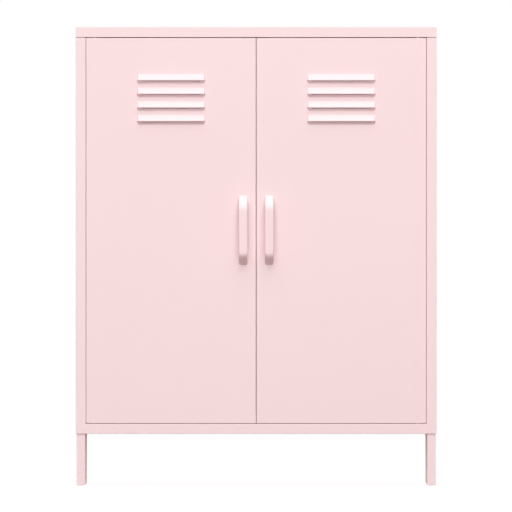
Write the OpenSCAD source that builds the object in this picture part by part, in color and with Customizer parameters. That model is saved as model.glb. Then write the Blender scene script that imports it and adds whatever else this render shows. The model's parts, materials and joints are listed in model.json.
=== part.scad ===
// Two-door steel locker cabinet on four folded legs.
// Millimetres. +Z is up and the doors face -Y. The origin is on the floor, under the middle of
// the cabinet with its handles. Left and right are seen from in front of the doors.

/* [Cabinet] */
// Width over the side panels
cabinet_w = 800; // [700:10:1000]
// Height from the floor to the top
cabinet_h = 1016; // [950:2:1200]
// Depth of the steel body, from the front frame to the rear edges
body_d = 375; // [320:5:480]
// Height of the body's underside above the floor
leg_h = 114; // [90:1:150]
// Thickness of the folded sheet steel
sheet_t = 1.2; // [1:0.1:1.5]

/* [Front frame] */
// Height of the top panel's flange
top_flange_h = 23.5; // [20:0.5:30]
// Height of the bottom rail
rail_h = 22.5; // [20:0.5:30]
// Width of each stile
stile_w = 22.5; // [20:0.5:30]
// Depth of the stiles' jambs behind the front face
jamb_d = 24; // [20:1:30]
// Depth of the sill and of the top panel's front lip
sill_d = 38; // [36:1:44]
// Width of the other folded lips on the top panel and the back of the side panels
lip_w = 16; // [14:1:20]
// Width of the side panels' top and bottom flanges
side_flange_w = 30; // [26:1:36]
// How far the back panel is set in from the rear edges
back_recess = 3; // [2.5:0.5:5]
// Distance of the header channel behind the front face
header_setback = 24; // [22:1:26]

/* [Doors] */
// Thickness of a door over its folded edges
door_t = 18; // [16:1:20]
// Gap between a door's outer edge and the stile
door_side_gap = 1; // [0.9:0.1:2.5]
// Gap above a door
door_top_gap = 1.6; // [1.3:0.1:2.5]
// Gap under a door
door_foot_gap = 1.1; // [1.1:0.1:2.5]
// Gap between the two doors
centre_gap = 1.4; // [1.2:0.1:4]
// Width of the folded lip at the back of a door
door_lip_w = 12; // [10:1:14]
// Width of the stiffening channel behind the handle
stiffener_w = 34; // [28:1:36]
// Depth of the stiffening channel
stiffener_d = 12; // [8:1:13]
// Distance of the stiffening channel's ends from the door's ends
stiffener_end = 30; // [25:1:60]

/* [Louvres] */
// Louvres in each door
louvre_count = 4; // [1:1:8]
// Distance from one louvre to the next
louvre_pitch = 30.2; // [26:0.1:40]
// Width of a louvre along its lip
louvre_w = 150; // [100:5:200]
// Distance of the first louvre below the top of the door
louvre_drop = 79; // [60:0.5:120]
// Height of a louvre's upper slope
hood_h = 14; // [12:0.5:16]
// Height of a louvre's underside
underside_h = 7; // [5:0.5:7.5]
// How far a louvre's lip stands out of the door
hood_reach = 7; // [5:0.5:9]
// How much narrower a louvre is at its top edge, on each side
hood_taper = 2; // [1:0.5:4]
// How much narrower a louvre is under its lip, on each side
underside_taper = 4; // [2:0.5:6]
// Height of the air slit in a louvre's underside
slit_h = 1.6; // [1:0.1:2]
// Distance of the air slit below the lip
slit_drop = 1; // [0.8:0.1:1.5]
// Distance of the air slit's ends from the louvre's ends
slit_end = 9; // [7:1:20]

/* [Handles] */
// Length of a handle
handle_len = 153; // [120:1:200]
// Width of a handle
handle_w = 19; // [14:1:24]
// How far a handle stands out of the door
handle_reach = 25; // [22:1:35]
// Thickness of a handle's grip
grip_t = 6; // [5:0.5:8]
// Height of a handle's sloping end
handle_slope_h = 21; // [20:1:28]
// Height of a handle's foot on the door
handle_foot_h = 16; // [15:1:18]
// Distance of a handle's screws from its ends
handle_screw_z = 12; // [11:0.5:12]
// Distance of a handle's middle from the cabinet's middle plane
handle_x = 29; // [27:1:45]
// Height of a handle's lower end above the body's underside
handle_z = 375; // [250:5:500]

/* [Hinges] */
// Distance of the hinge pin from the door's outer edge
hinge_inset = 18; // [14:0.5:20]
// Distance of the hinge pin behind the door's face
hinge_setback = 5.3; // [5.3:0.1:6]
// Radius of the hinge pin
pin_r = 2.5; // [2:0.1:2.5]
// Running clearance around the hinge pin
pin_clearance = 0.05; // [0.03:0.01:0.08]
// Radius of the hinge pin's head
pin_head_r = 3.8; // [3.5:0.1:4]
// Height of the hinge pin's head
pin_head_h = 2; // [1.5:0.1:3]
// Length of the hinge pin in the frame's bush
pin_grip = 6; // [4:0.5:7]
// Wall of the hinge bush
bush_wall = 0.95; // [0.8:0.05:1]
// Length of the hinge bush behind its flange
bush_l = 8; // [7.5:0.5:12]
// Thickness of the hinge bush's flange
bush_flange_t = 0.8; // [0.6:0.1:0.8]
// Radius of the hinge bush's flange
bush_flange_r = 4.6; // [4.2:0.1:5]
// Thickness of the bracket that backs the hinge pin
bracket_t = 3; // [2:0.5:4]
// Length of the hinge bracket
bracket_l = 24; // [16:1:24]
// Depth of the hinge bracket
bracket_d = 12; // [10:1:14]

/* [Legs] */
// Width of a leg's face
leg_w = 18.3; // [15:0.1:24]
// Thickness of a leg's steel
leg_t = 1.5; // [1.2:0.1:2]
// Depth of a leg's side flange
leg_side_d = 30; // [20:1:40]
// How far a leg is set in from the body's edges
leg_inset = 2; // [1:0.5:4]
// Length of a front leg's stiffening lip
leg_lip_l = 13; // [8:1:16]
// Angle between a leg's face and its stiffening lip
leg_lip_angle = 72; // [60:1:85]
// Height over which the foot of the stiffening lip is trimmed
leg_trim_h = 8; // [4:1:12]
// Width of the plate at the top of a leg
leg_plate_w = 34; // [28:1:40]
// Distance of a leg's first screw behind the sill
leg_screw_gap = 10; // [8:1:20]
// Distance between a leg's two screws
leg_screw_spacing = 16; // [12:1:24]
// Distance of a leg's second screw from the end of its plate
leg_plate_margin = 9; // [7:1:14]
// Distance of a leg's screws from the side of the body
leg_screw_x = 18; // [15:1:20]
// Depth of the folded foot plate at the bottom of a leg
foot_plate_d = 18; // [17:1:22]
// Height of the foot glide under the leg
glide_h = 1.5; // [1:0.5:4]
// Radius of the foot glide
glide_r = 7; // [5:0.5:7.5]
// Radius of the foot glide's stem
glide_stem_r = 2.5; // [2:0.1:3.5]
// Length of the foot glide's stem
glide_stem_l = 6; // [4:0.5:10]

/* [Shelves] */
// Height of the shelves' front and rear edges
shelf_h = 20; // [15:1:30]
// Distance of the shelves behind the front face
shelf_setback = 32; // [30:1:60]
// Clearance between a shelf and what is beside and behind it
shelf_clearance = 2; // [1:0.5:4]
// Width of a shelf upright
upright_w = 20; // [16:1:24]
// Depth of a shelf upright
upright_d = 8; // [6:0.5:10]
// Distance of the front and rear uprights from the front face and the rear edges
upright_setback = 64; // [62:1:110]
// Distance between the slots of an upright
slot_pitch = 50; // [40:5:60]
// Height of an upright's first slot above the cabinet's floor
first_slot_h = 62; // [50:1:100]
// Slot that carries the lower shelf, counted from 0
lower_shelf_slot = 4; // [3:1:6]
// Slot that carries the upper shelf, counted from 0
upper_shelf_slot = 10; // [8:1:12]
// Thickness of a shelf clip
clip_t = 2; // [1.5:0.1:2.5]
// Width of a shelf clip
clip_w = 14; // [12:1:18]
// How far a shelf clip reaches under the shelf
clip_reach = 12; // [8:1:20]
// Width of a shelf clip's tongue
clip_tongue_w = 8; // [6:1:10]
// Length of a shelf clip's tongue
clip_tongue_l = 4; // [3:0.5:5]
// Height of a shelf clip's leg against the upright
clip_leg_h = 12; // [8:1:20]

/* [Catches] */
// Distance of a magnetic catch from the cabinet's middle plane
catch_x = 60; // [50:5:200]
// Length of a catch's housing
catch_l = 44; // [40:1:60]
// Depth of a catch's housing
catch_d = 16; // [14:1:16]
// Height of a catch's housing
catch_h = 14; // [12:1:16]
// Length of the catch's magnet
magnet_l = 20; // [14:1:24]
// Height of the catch's magnet
magnet_h = 8; // [6:0.5:9]
// Depth of the catch's magnet
magnet_d = 10; // [6:1:11]
// Distance of a catch's two screws from its middle
catch_screw_x = 16; // [15:1:17]
// Thickness of the strike plate on the door
strike_t = 1.5; // [1:0.1:2]
// Length of the strike plate
strike_l = 40; // [24:1:60]
// Height of the strike plate
strike_h = 10; // [8:1:11]
// Gap between a closed door and what stops it
stop_gap = 0.3; // [0.2:0.05:0.5]
// Thickness of the stop bracket's steel
stop_t = 1.5; // [1.2:0.1:2]
// Length of the stop bracket
stop_l = 60; // [50:1:90]
// Height of the stop bracket
stop_h = 14; // [14:1:20]
// Radius of the rubber buffers on the stop bracket
buffer_r = 5; // [3:0.5:5]
// Thickness of the rubber buffers
buffer_t = 3; // [2:0.5:5]
// Distance of a buffer from the cabinet's middle plane
buffer_x = 16; // [12:1:22]

/* [Wall anchors] */
// Distance of a wall anchor from the side of the cabinet
anchor_inset = 100; // [70:5:200]
// Distance of a wall anchor below the top panel's flange
anchor_drop = 60; // [45:5:120]
// Side of a wall anchor's plate
anchor_side = 50; // [30:1:60]
// Thickness of a wall anchor's plate
anchor_t = 2.5; // [2:0.5:4]
// Radius of a wall anchor's hole
anchor_hole_r = 3.25; // [2.5:0.25:5]

/* [Fasteners] */
// Clearance around a screw, stem or tongue in its hole
hole_clearance = 0.1; // [0.05:0.05:0.3]
// Clearance between pieces that are fitted into each other
fit_clearance = 0.1; // [0.05:0.05:0.2]
// Radius of the sheet-metal screws
screw_r = 1.75; // [1.5:0.25:2]
// Radius of the sheet-metal screws' heads
screw_head_r = 3.5; // [3:0.25:4]
// Height of the sheet-metal screws' heads
screw_head_h = 2; // [1.5:0.1:2.3]
// Length of the sheet-metal screws under the head
screw_l = 8; // [6:0.5:10]
// Screws along each side of the back panel
back_screw_count = 5; // [3:1:8]
// Distance of the back panel's last screws from its ends
back_screw_end = 60; // [50:5:100]
// Screws along the foot of the back panel
foot_screw_count = 3; // [2:1:6]
// Distance of the top panel's end screws from the front face and the rear edges
top_screw_end = 45; // [40:1:50]
// Radius of the legs' screws
leg_screw_r = 2.5; // [2:0.25:3]
// Radius of the legs' screw heads
leg_screw_head_r = 4.5; // [4:0.25:5]
// Height of the legs' screw heads
leg_screw_head_h = 3; // [2:0.5:4]
// Length of the legs' screws under the head
leg_screw_l = 10; // [9:0.5:14]
// Width across the flats of the legs' nuts
nut_flats = 8; // [7:0.5:10]
// Height of the legs' nuts
nut_h = 4; // [3:0.5:5]
// Radius of the handles' screws
handle_screw_r = 2; // [1.5:0.25:2]
// Radius of the handles' screw heads
handle_screw_head_r = 4; // [3:0.25:4]
// Height of the handles' screw heads
handle_screw_head_h = 2.5; // [1.5:0.1:3]
// Depth of the handles' screws in the handle
handle_screw_grip = 7; // [5:0.5:7.5]
// Radius of the catches' screws
catch_screw_r = 1.5; // [1:0.25:1.75]
// Radius of the catches' screw heads
catch_screw_head_r = 3; // [2:0.25:3.5]
// Height of the catches' screw heads
catch_screw_head_h = 1.8; // [1:0.1:2]
// Length of the catches' screws beyond the steel they hold
catch_screw_end = 3; // [2:0.5:5]

/* [Hidden] */
$fn = 48;

// Colours
PAINT = [0.93, 0.72, 0.74];
STEEL = [0.72, 0.72, 0.74];
NYLON = [0.92, 0.90, 0.88];
PLASTIC = [0.88, 0.86, 0.86];
RUBBER = [0.35, 0.34, 0.35];
MAGNET = [0.25, 0.25, 0.27];

// Overlap of a cutting shape past the face that it opens
cut = 1;

// Planes of the body
half_w = cabinet_w / 2;
front_y = (handle_reach - body_d) / 2;
back_y = (handle_reach + body_d) / 2;
middle_y = (front_y + back_y) / 2;
seat_z = cabinet_h - top_flange_h;
floor_z = leg_h + rail_h;
sill_y = front_y + sill_d;
back_face_y = back_y - back_recess;
inner_back_y = back_face_y - sheet_t;
rear_lip_y = inner_back_y - sheet_t;
inner_x = half_w - sheet_t;
opening_x = half_w - stile_w;
lip_x = half_w - lip_w / 2;

// Planes of the left door, whose outer edge is at -door_x
door_x = opening_x - door_side_gap;
door_edge_x = centre_gap / 2;
door_z0 = floor_z + door_foot_gap;
door_z1 = seat_z - door_top_gap;
door_back_y = front_y + door_t;
hinge_x = door_x - hinge_inset;
hinge_y = front_y + hinge_setback;
louvre_x = (door_x + door_edge_x) / 2;
louvre_zs = [for (i = [0 : louvre_count - 1]) door_z1 - louvre_drop - i * louvre_pitch];
handle_z0 = leg_h + handle_z;
handle_screw_zs = [handle_screw_z, handle_len - handle_screw_z];
bush_r = pin_r + pin_clearance + bush_wall;

// Leg plate
leg_screw_ys = [sill_d + leg_screw_gap, sill_d + leg_screw_gap + leg_screw_spacing];
leg_plate_d = leg_screw_ys[1] + leg_plate_margin - leg_inset;

// Shelf levels
upright_x = inner_x - upright_d;
shelf_x = upright_x - shelf_clearance;
slot_count = floor((seat_z - floor_z - 2 * first_slot_h) / slot_pitch) + 1;
upright_ys = [front_y + upright_setback, back_y - upright_setback - upright_w];
shelf_slots = [lower_shelf_slot, upper_shelf_slot];

// Catch and stop planes
catch_y = door_back_y + strike_t + stop_gap;
magnet_z = door_z1 - door_lip_w / 2;
catch_screw_y = catch_y + catch_d / 2;
buffer_y = door_back_y + stop_gap;
buffer_z = door_z0 + door_lip_w / 2;
anchor_x = half_w - anchor_inset;
anchor_z = seat_z - anchor_drop;

// Height of a slot above the floor panel
function slot_z(n) = floor_z + first_slot_h + n * slot_pitch;

// Evenly spaced values from a to b
function spread(a, b, count) = [for (i = [0 : count - 1]) a + (b - a) * i / (count - 1)];

back_screw_zs = spread(floor_z + back_screw_end, seat_z - back_screw_end, back_screw_count);
foot_screw_xs = spread(-half_w / 2, half_w / 2, foot_screw_count);
foot_screw_z = leg_h + sheet_t + (rail_h - 2 * sheet_t) / 2;
top_screw_ys = [front_y + top_screw_end, middle_y, back_y - top_screw_end];

// ---- Shared shapes ----

// A straight block between two values on each axis
module block(x, y, z) {
    translate([x[0], y[0], z[0]])
        cube([x[1] - x[0], y[1] - y[0], z[1] - z[0]]);
}

// Its children, and their mirror image on the other side of the cabinet
module both_sides() {
    children();
    mirror([1, 0, 0]) children();
}

// Its children, mirrored from the front of the body to its rear
module at_rear() {
    translate([0, 2 * middle_y, 0]) mirror([0, 1, 0]) children();
}

// Its children at the front, and their mirror image at the rear
module both_ends() {
    children();
    at_rear() children();
}

// A rod along Z or Y from a start point
module rod_z(p, r, l) {
    translate(p) cylinder(r = r, h = l);
}

module rod_y(p, r, l) {
    translate(p) rotate([-90, 0, 0]) cylinder(r = r, h = l);
}

// A pan-headed screw that stands on its head at the origin and points along +Z
module pan_screw(r, l, head_r, head_h) {
    cylinder(r = r, h = l);
    translate([0, 0, -head_h]) cylinder(r = head_r, h = head_h);
}

// A pan folded from one sheet: closed on five sides, open on the side towards -Z
module pan_down(x, y, z) {
    difference() {
        block(x, y, z);
        block(
            [x[0] + sheet_t, x[1] - sheet_t],
            [y[0] + sheet_t, y[1] - sheet_t],
            [z[0] - cut, z[1] - sheet_t]
        );
    }
}

// ---- Body shell ----

// Top cap: a pan whose edges turn in again as lips that sit on the side panels and stiles
module top_panel() {
    color(PAINT) difference() {
        block([-half_w, half_w], [front_y, back_y], [seat_z, cabinet_h]);
        block(
            [-inner_x, inner_x],
            [front_y + sheet_t, back_y - sheet_t],
            [seat_z + sheet_t, cabinet_h - sheet_t]
        );
        block(
            [lip_w - half_w, half_w - lip_w],
            [sill_y, back_y - lip_w],
            [seat_z - cut, seat_z + sheet_t + cut]
        );
        both_sides() {
            rod_z([-hinge_x, hinge_y, seat_z - cut], bush_r + hole_clearance, sheet_t + 2 * cut);
            top_screw_holes(seat_z);
            catch_screw_holes(seat_z);
        }
    }
}

// Channel that closes the front lip of the top panel into a stiff header
module header_channel() {
    color(PAINT) difference() {
        block(
            [-inner_x + fit_clearance, inner_x - fit_clearance],
            [front_y + header_setback, sill_y],
            [seat_z + sheet_t, cabinet_h - sheet_t]
        );
        block(
            [-half_w, half_w],
            [front_y + header_setback - cut, sill_y - sheet_t],
            [seat_z + 2 * sheet_t, cabinet_h - 2 * sheet_t]
        );
        both_sides() catch_screw_holes(seat_z + sheet_t);
    }
}

// Left stile: face, jamb and welding flange
module stile() {
    color(PAINT) difference() {
        block([-half_w, -opening_x], [front_y, front_y + jamb_d], [leg_h, seat_z]);
        block(
            [sheet_t - half_w, -opening_x - sheet_t],
            [front_y + sheet_t, front_y + jamb_d + cut],
            [leg_h - cut, seat_z + cut]
        );
        block(
            [-half_w - cut, -inner_x],
            [front_y + sheet_t, front_y + jamb_d + cut],
            [leg_h - cut, seat_z + cut]
        );
    }
    color(PAINT) block(
        [-inner_x, sheet_t - inner_x],
        [front_y + sheet_t, front_y + jamb_d],
        [leg_h, seat_z]
    );
}

// Bottom rail: a channel with the sill on top, open to the back
module bottom_rail() {
    color(PAINT) difference() {
        block([-opening_x, opening_x], [front_y, sill_y], [leg_h, floor_z]);
        block(
            [-opening_x - cut, opening_x + cut],
            [front_y + sheet_t, sill_y + cut],
            [leg_h + sheet_t, floor_z - sheet_t]
        );
        both_sides() rod_z(
            [-hinge_x, hinge_y, floor_z - sheet_t - cut],
            bush_r + hole_clearance,
            sheet_t + 2 * cut
        );
    }
}

// Left side panel: the sheet, its top, bottom and rear flanges
module side_panel() {
    color(PAINT) difference() {
        block([-half_w, side_flange_w - half_w], [front_y + sheet_t, back_y], [leg_h, seat_z]);
        block(
            [-inner_x, half_w],
            [front_y, rear_lip_y],
            [leg_h + sheet_t, seat_z - sheet_t]
        );
        block([-inner_x, half_w], [front_y, sill_y], [0, cabinet_h]);
        block([-inner_x, half_w], [inner_back_y, back_y + cut], [0, cabinet_h]);
        block(
            [lip_w - half_w, half_w],
            [rear_lip_y - cut, back_y],
            [leg_h + sheet_t, seat_z - sheet_t]
        );
        block(
            [-inner_x, half_w],
            [rear_lip_y - cut, back_y],
            [leg_h + sheet_t, floor_z + fit_clearance]
        );
        top_screw_holes(seat_z - sheet_t);
        both_ends() leg_screw_holes();
        back_screw_holes(rear_lip_y);
    }
}

// Back panel: a flat sheet on the side panels' rear flanges
module back_panel() {
    color(PAINT) difference() {
        block(
            [fit_clearance - inner_x, inner_x - fit_clearance],
            [inner_back_y, back_face_y],
            [leg_h, seat_z]
        );
        both_sides() {
            back_screw_holes(inner_back_y);
            anchor_hole();
        }
        foot_screw_holes(inner_back_y);
    }
}

// Floor panel: a pan that stands on the side panels' bottom flanges
module floor_panel() {
    color(PAINT) difference() {
        pan_down(
            [fit_clearance - inner_x, inner_x - fit_clearance],
            [sill_y, inner_back_y],
            [leg_h + sheet_t, floor_z]
        );
        foot_screw_holes(inner_back_y - sheet_t);
    }
}

// ---- Holes that several pieces share, each through one sheet that starts at the plane given ----

module top_screw_holes(z) {
    for (y = top_screw_ys)
        rod_z([-lip_x, y, z - cut], screw_r + hole_clearance, sheet_t + 2 * cut);
}

module catch_screw_holes(z) {
    for (x = [catch_x - catch_screw_x, catch_x + catch_screw_x])
        rod_z([-x, catch_screw_y, z - cut], catch_screw_r + hole_clearance, sheet_t + 2 * cut);
}

// The front left leg's screw holes, through its plate and the side panel's flange
module leg_screw_holes() {
    for (y = leg_screw_ys)
        rod_z(
            [leg_screw_x - half_w, front_y + y, leg_h - leg_t - cut],
            leg_screw_r + hole_clearance,
            leg_t + sheet_t + 2 * cut
        );
}

module back_screw_holes(y) {
    for (z = back_screw_zs)
        rod_y([-lip_x, y - cut, z], screw_r + hole_clearance, sheet_t + 2 * cut);
}

module foot_screw_holes(y) {
    for (x = foot_screw_xs)
        rod_y([x, y - cut, foot_screw_z], screw_r + hole_clearance, sheet_t + 2 * cut);
}

module anchor_hole() {
    rod_y(
        [-anchor_x, inner_back_y - anchor_t - cut, anchor_z],
        anchor_hole_r,
        anchor_t + sheet_t + 2 * cut
    );
}

// ---- Legs ----

// Section of a leg, with its outer corner at the origin: side flange and face
module leg_section() {
    difference() {
        square([leg_w, leg_side_d]);
        translate([leg_t, leg_t]) square([leg_w, leg_side_d]);
    }
}

// Stiffening lip along the inner edge of that section
module leg_lip_section() {
    run = leg_lip_l * cos(leg_lip_angle);
    depth = leg_lip_l * sin(leg_lip_angle);
    polygon([
        [leg_w, 0],
        [leg_w + run, depth],
        [leg_w + run - leg_t * sin(leg_lip_angle), depth + leg_t * cos(leg_lip_angle)],
        [leg_w - leg_t * tan(leg_lip_angle / 2), leg_t],
        [leg_w - leg_t, 0]
    ]);
}

// Left leg in its front place: the folded section, its mounting plate and its foot plate
module leg(has_lip) {
    run = leg_lip_l * cos(leg_lip_angle);
    color(PAINT) difference() {
        union() {
            translate([leg_inset - half_w, front_y + leg_inset, glide_h])
                linear_extrude(leg_h - glide_h) {
                    leg_section();
                    if (has_lip) leg_lip_section();
                }
            translate([leg_inset - half_w, front_y + leg_inset, leg_h - leg_t])
                cube([leg_plate_w, leg_plate_d, leg_t]);
            translate([leg_inset - half_w, front_y + leg_inset, glide_h])
                cube([leg_w - leg_t, foot_plate_d, leg_t]);
        }
        // The foot of the lip is trimmed on a slope
        translate([leg_inset - half_w + leg_w, front_y - cut, glide_h])
            rotate([-90, 0, 0])
                linear_extrude(leg_plate_d)
                    polygon([[0, cut], [0, 0], [run, -leg_trim_h], [2 * run, -leg_trim_h], [2 * run, cut]]);
        leg_screw_holes();
        glide_place() rod_z([0, 0, -cut], glide_stem_r + hole_clearance, leg_t + 2 * cut);
    }
}

// The middle of the front left foot plate's underside
module glide_place() {
    translate([
        leg_inset - half_w + leg_w / 2,
        front_y + leg_inset + foot_plate_d / 2,
        glide_h
    ]) children();
}

module foot_glides() {
    color(NYLON) both_sides() both_ends() glide_place() {
        rod_z([0, 0, -glide_h], glide_r, glide_h);
        rod_z([0, 0, 0], glide_stem_r, glide_stem_l);
    }
}

// Screws that hold the legs, from below, and their nuts on the side panels' bottom flanges
module leg_screws() {
    color(STEEL) both_sides() both_ends() for (y = leg_screw_ys)
        translate([leg_screw_x - half_w, front_y + y, leg_h - leg_t])
            pan_screw(leg_screw_r, leg_screw_l, leg_screw_head_r, leg_screw_head_h);
}

module leg_nuts() {
    color(STEEL) both_sides() both_ends() for (y = leg_screw_ys)
        translate([leg_screw_x - half_w, front_y + y, leg_h + sheet_t]) difference() {
            cylinder(r = nut_flats / sqrt(3), h = nut_h, $fn = 6);
            rod_z([0, 0, -cut], leg_screw_r + hole_clearance, nut_h + 2 * cut);
        }
}

// ---- Screws of the shell ----

module top_screws() {
    color(STEEL) both_sides() for (y = top_screw_ys)
        translate([-lip_x, y, seat_z - sheet_t])
            pan_screw(screw_r, screw_l, screw_head_r, screw_head_h);
}

module back_screws() {
    color(STEEL) {
        both_sides() for (z = back_screw_zs)
            translate([-lip_x, back_face_y, z]) rotate([90, 0, 0])
                pan_screw(screw_r, screw_l, screw_head_r, screw_head_h);
        for (x = foot_screw_xs)
            translate([x, back_face_y, foot_screw_z]) rotate([90, 0, 0])
                pan_screw(screw_r, screw_l, screw_head_r, screw_head_h);
    }
}

module wall_anchor_plates() {
    color(STEEL) both_sides() difference() {
        block(
            [-anchor_x - anchor_side / 2, -anchor_x + anchor_side / 2],
            [inner_back_y - anchor_t, inner_back_y],
            [anchor_z - anchor_side / 2, anchor_z + anchor_side / 2]
        );
        anchor_hole();
    }
}

// ---- Shelves ----

// Four slotted channels, welded to the side panels
module shelf_uprights() {
    color(PAINT) both_sides() for (y = upright_ys) difference() {
        block([-inner_x, -upright_x], [y, y + upright_w], [floor_z, seat_z - 2 * sheet_t]);
        block(
            [-inner_x - cut, -upright_x - sheet_t],
            [y + sheet_t, y + upright_w - sheet_t],
            [floor_z - cut, seat_z]
        );
        for (n = [0 : slot_count - 1]) upright_slot(y, slot_z(n));
    }
}

module upright_slot(y, z) {
    half_slot = clip_tongue_w / 2 + hole_clearance;
    block(
        [-upright_x - sheet_t - cut, -upright_x + cut],
        [y + upright_w / 2 - half_slot, y + upright_w / 2 + half_slot],
        [z - clip_t - hole_clearance, z + hole_clearance]
    );
}

// Clips that hook into the slots, four under each shelf
module shelf_clips() {
    color(STEEL) both_sides() for (y = upright_ys) for (n = shelf_slots) {
        middle = y + upright_w / 2;
        translate([-upright_x, middle, slot_z(n)]) {
            block([0, clip_reach], [-clip_w / 2, clip_w / 2], [-clip_t, 0]);
            block([0, clip_t], [-clip_w / 2, clip_w / 2], [-clip_leg_h, -clip_t]);
            block([-clip_tongue_l, 0], [-clip_tongue_w / 2, clip_tongue_w / 2], [-clip_t, 0]);
        }
    }
}

// A shelf pan that rests on the clips of one row of slots
module shelf(slot) {
    color(PAINT) pan_down(
        [-shelf_x, shelf_x],
        [front_y + shelf_setback, inner_back_y - anchor_t - shelf_clearance],
        [slot_z(slot), slot_z(slot) + shelf_h]
    );
}

// ---- Catches and stops ----

module hinge_bushes() {
    color(NYLON) both_sides() {
        translate([-hinge_x, hinge_y, seat_z]) hinge_bush();
        translate([-hinge_x, hinge_y, floor_z]) mirror([0, 0, 1]) hinge_bush();
    }
}

// A flanged bush whose flange lies under z = 0
module hinge_bush() {
    difference() {
        union() {
            cylinder(r = bush_r, h = bush_l);
            translate([0, 0, -bush_flange_t]) cylinder(r = bush_flange_r, h = bush_flange_t);
        }
        rod_z(
            [0, 0, -bush_flange_t - cut],
            pin_r + pin_clearance,
            bush_l + bush_flange_t + 2 * cut
        );
    }
}

module catch_housings() {
    color(PLASTIC) both_sides() difference() {
        block(
            [-catch_x - catch_l / 2, -catch_x + catch_l / 2],
            [catch_y, catch_y + catch_d],
            [seat_z - catch_h, seat_z]
        );
        block(
            [-catch_x - magnet_l / 2 - fit_clearance, -catch_x + magnet_l / 2 + fit_clearance],
            [catch_y - cut, catch_y + magnet_d],
            [magnet_z - magnet_h / 2 - fit_clearance, magnet_z + magnet_h / 2 + fit_clearance]
        );
        for (x = [catch_x - catch_screw_x, catch_x + catch_screw_x])
            rod_z(
                [-x, catch_screw_y, seat_z - catch_h - cut],
                catch_screw_r + hole_clearance,
                catch_h + 2 * cut
            );
    }
}

module catch_magnets() {
    color(MAGNET) both_sides() block(
        [-catch_x - magnet_l / 2, -catch_x + magnet_l / 2],
        [catch_y, catch_y + magnet_d],
        [magnet_z - magnet_h / 2, magnet_z + magnet_h / 2]
    );
}

module catch_screws() {
    color(STEEL) both_sides() for (x = [catch_x - catch_screw_x, catch_x + catch_screw_x])
        translate([-x, catch_screw_y, seat_z - catch_h])
            pan_screw(
                catch_screw_r,
                catch_h + 2 * sheet_t + catch_screw_end,
                catch_screw_head_r,
                catch_screw_head_h
            );
}

// Angle bracket on the sill that both doors close against
module door_stop_bracket() {
    color(STEEL) {
        block(
            [-stop_l / 2, stop_l / 2],
            [buffer_y + buffer_t, sill_y],
            [floor_z, floor_z + stop_t]
        );
        block(
            [-stop_l / 2, stop_l / 2],
            [buffer_y + buffer_t, buffer_y + buffer_t + stop_t],
            [floor_z + stop_t, floor_z + stop_h]
        );
    }
}

module door_buffers() {
    color(RUBBER) both_sides() rod_y([-buffer_x, buffer_y, buffer_z], buffer_r, buffer_t);
}

// ---- Doors, drawn as the left one ----

// A louvre's wedge with its ends drawn in by inset: it stands out of the plane y, and its back
// runs straight on behind that plane
module louvre_wedge(z, y, inset, backing) {
    half = louvre_w / 2 - inset;
    full_h = hood_h + underside_h;
    intersection() {
        translate([-louvre_x - half, y, z])
            rotate([90, 0, 90]) linear_extrude(2 * half)
                polygon([
                    [0, 0],
                    [-hood_reach, -hood_h],
                    [0, -full_h],
                    [backing, -full_h],
                    [backing, 0]
                ]);
        translate([-louvre_x, y + backing, z])
            rotate([90, 0, 0]) linear_extrude(hood_reach + backing)
                polygon([
                    [hood_taper - half, 0],
                    [half - hood_taper, 0],
                    [half, -hood_h],
                    [half - underside_taper, -full_h],
                    [underside_taper - half, -full_h],
                    [-half, -hood_h]
                ]);
    }
}

// Door: a pan with a lip all around its back, pressed louvres and the holes for what it carries
module door_panel() {
    color(PAINT) difference() {
        union() {
            door_pan();
            for (z = louvre_zs) louvre_wedge(z, front_y, 0, sheet_t);
        }
        for (z = louvre_zs) {
            // Hollow behind the hood, through the door's sheet
            louvre_wedge(z, front_y + sheet_t, sheet_t, cut);
            // Air slit in the underside
            block(
                [slit_end - louvre_x - louvre_w / 2, louvre_w / 2 - louvre_x - slit_end],
                [front_y - hood_reach - cut, front_y + sheet_t + cut],
                [z - hood_h - slit_drop - slit_h, z - hood_h - slit_drop]
            );
        }
        for (z = [door_z0 - cut, door_z1 - sheet_t - cut])
            rod_z([-hinge_x, hinge_y, z], pin_r + pin_clearance, sheet_t + 2 * cut);
        handle_screw_holes();
    }
}

module door_pan() {
    difference() {
        block([-door_x, -door_edge_x], [front_y, door_back_y], [door_z0, door_z1]);
        block(
            [sheet_t - door_x, -door_edge_x - sheet_t],
            [front_y + sheet_t, door_back_y - sheet_t],
            [door_z0 + sheet_t, door_z1 - sheet_t]
        );
        block(
            [door_lip_w - door_x, -door_edge_x - door_lip_w],
            [door_back_y - sheet_t - cut, door_back_y + cut],
            [door_z0 + door_lip_w, door_z1 - door_lip_w]
        );
    }
}

module handle_screw_holes() {
    for (z = handle_screw_zs)
        rod_y(
            [-handle_x, front_y - cut, handle_z0 + z],
            handle_screw_r + hole_clearance,
            2 * sheet_t + 2 * cut
        );
}

// Vertical channel behind the door's free edge, which the handle's screws pass through
module door_stiffener() {
    color(PAINT) difference() {
        block(
            [-handle_x - stiffener_w / 2, -handle_x + stiffener_w / 2],
            [front_y + sheet_t, front_y + sheet_t + stiffener_d],
            [door_z0 + stiffener_end, door_z1 - stiffener_end]
        );
        block(
            [-handle_x - stiffener_w / 2 + sheet_t, -handle_x + stiffener_w / 2 - sheet_t],
            [front_y + 2 * sheet_t, door_back_y],
            [door_z0, door_z1]
        );
        handle_screw_holes();
    }
}

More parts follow.
